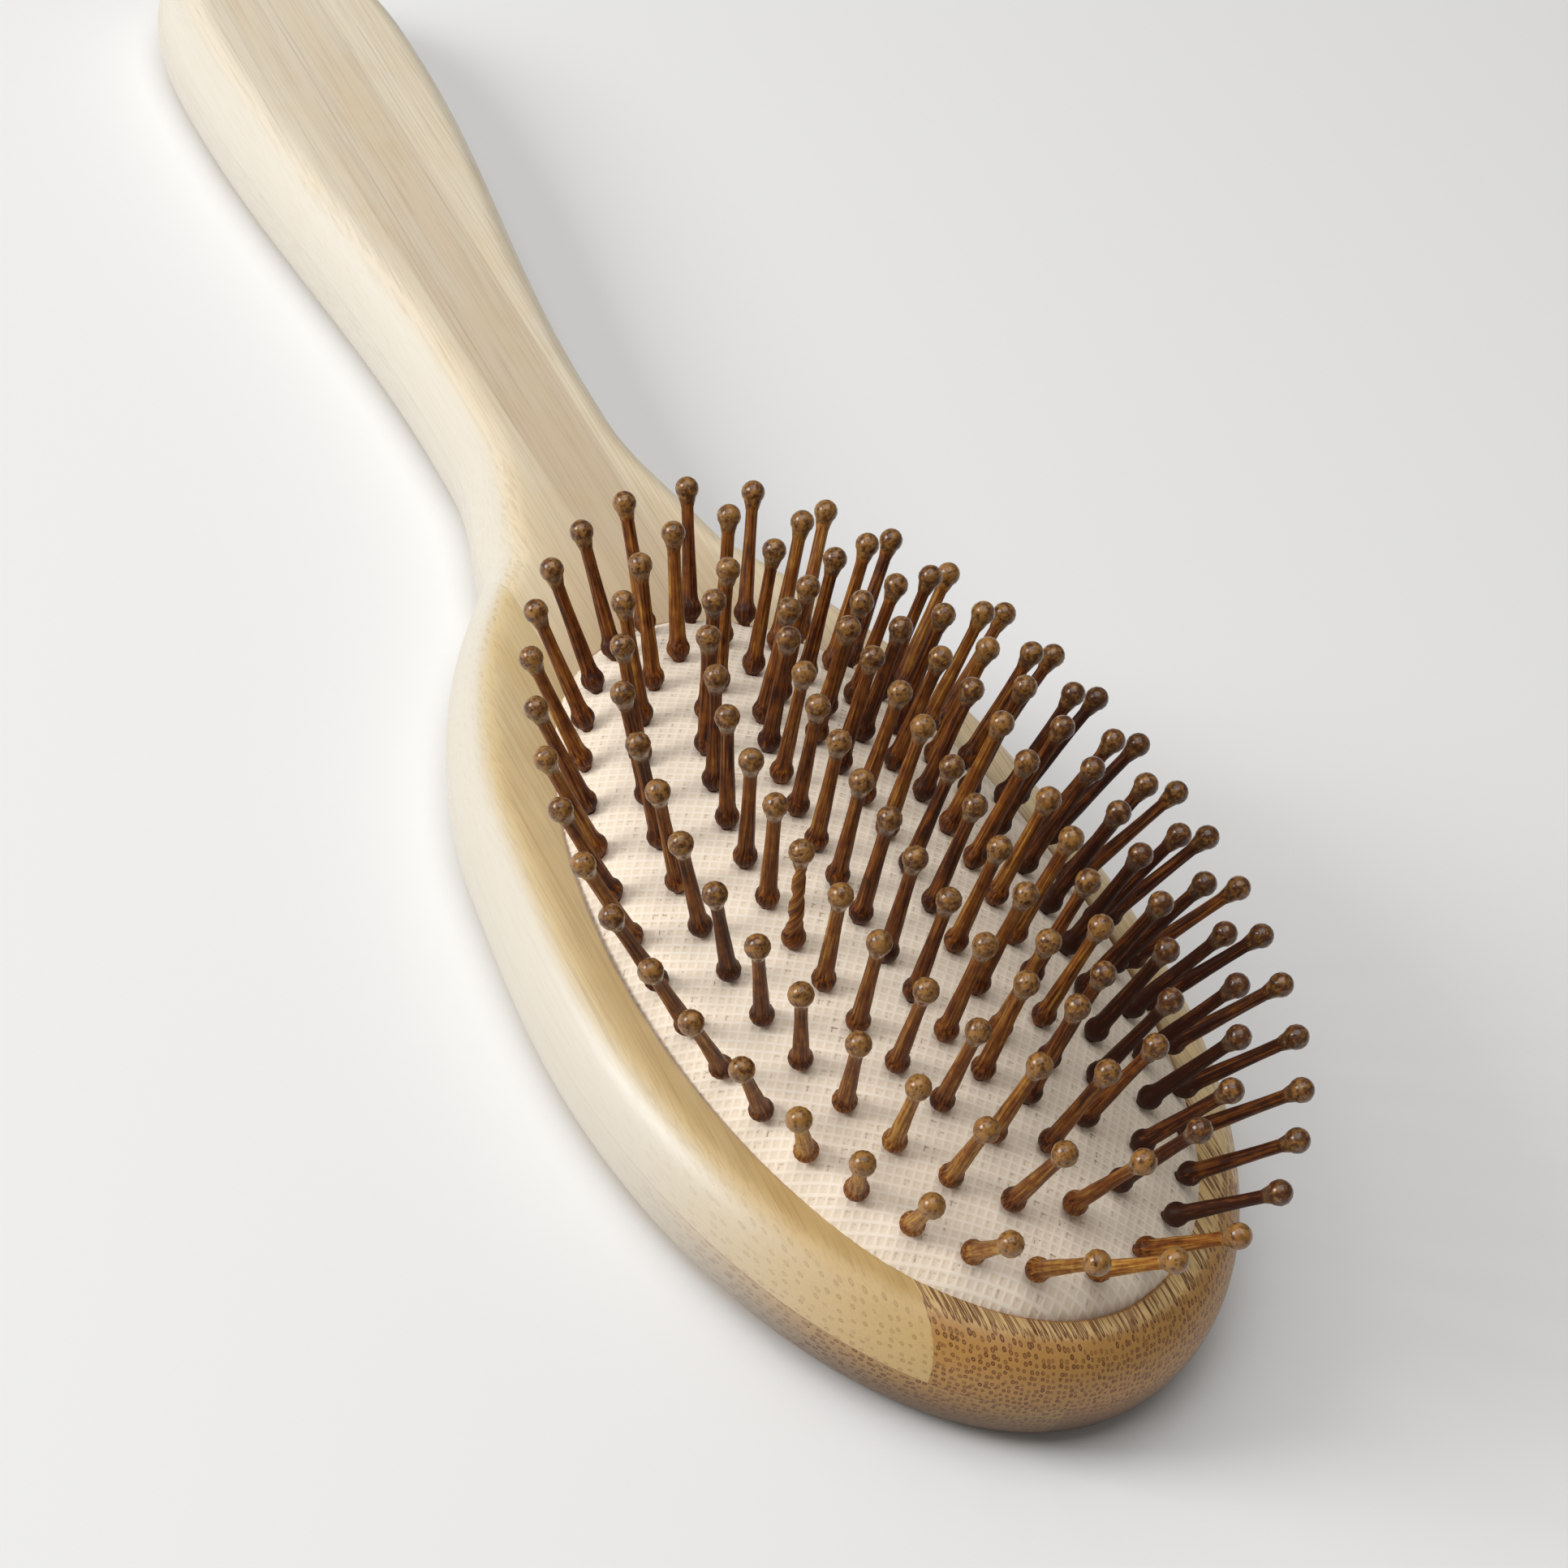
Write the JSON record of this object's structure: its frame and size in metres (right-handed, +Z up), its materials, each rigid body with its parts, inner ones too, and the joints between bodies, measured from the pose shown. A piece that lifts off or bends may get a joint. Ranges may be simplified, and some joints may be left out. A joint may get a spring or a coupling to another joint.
{
  "type": "cushion hairbrush",
  "caption": "Oval laminated-bamboo hairbrush with a straight handle and a cloth-faced rubber cushion that carries ball-tipped bamboo pins and gives under pressure.",
  "frame": {"origin": "under the middle of the brush, on the flat back it lies on", "axes": "+Z up out of the cushion, along the middle pins; +Y along the handle, away from the head; +X to the right seen from the head tip"},
  "size_m": [0.0704, 0.241, 0.0398],
  "materials": {
    "front_bamboo": "sanded bamboo, satin oil",
    "back_bamboo": "sanded bamboo, satin oil",
    "cushion_rubber": "natural latex rubber, matt",
    "cushion_cloth": "plain-woven off-white cloth",
    "pin_bamboo": "heat-darkened bamboo, polished"
  },
  "bodies": {
    "board": {"front_left_head": "front_bamboo", "front_mid_left_tip": "front_bamboo", "front_mid_left_handle": "front_bamboo", "front_mid_right_tip": "front_bamboo", "front_mid_right_handle": "front_bamboo", "front_right_head": "front_bamboo", "back_left_head": "back_bamboo", "back_mid_left": "back_bamboo", "back_mid_right": "back_bamboo", "back_right_head": "back_bamboo", "rubber_cushion": "cushion_rubber", "cushion_cloth": "cushion_cloth"},
    "outer_pins": {"pins_outer_ring": "pin_bamboo"},
    "second_pins": {"pins_second_ring": "pin_bamboo"},
    "third_pins": {"pins_third_ring": "pin_bamboo"},
    "inner_pins": {"pins_inner_ring": "pin_bamboo"},
    "middle_pins": {"pins_middle_row": "pin_bamboo"}
  },
  "joints": [
    {"name": "middle_press", "type": "slide", "parent": "board", "child": "middle_pins", "axis": [0, 0, -1], "range_m": [0, 0.005], "stiffness_N_per_m": 600, "deforming": ["rubber_cushion", "cushion_cloth"]},
    {"name": "outer_press", "type": "slide", "parent": "board", "child": "outer_pins", "axis": [0, 0, -1], "range_m": [0, 0.001]},
    {"name": "second_press", "type": "slide", "parent": "board", "child": "second_pins", "axis": [0, 0, -1], "range_m": [0, 0.00235]},
    {"name": "third_press", "type": "slide", "parent": "board", "child": "third_pins", "axis": [0, 0, -1], "range_m": [0, 0.00345]},
    {"name": "inner_press", "type": "slide", "parent": "board", "child": "inner_pins", "axis": [0, 0, -1], "range_m": [0, 0.00425]}
  ],
  "couplings": [
    {"joint": "outer_press", "follows": "middle_press", "ratio": 0.2},
    {"joint": "second_press", "follows": "middle_press", "ratio": 0.47},
    {"joint": "third_press", "follows": "middle_press", "ratio": 0.69},
    {"joint": "inner_press", "follows": "middle_press", "ratio": 0.85}
  ]
}
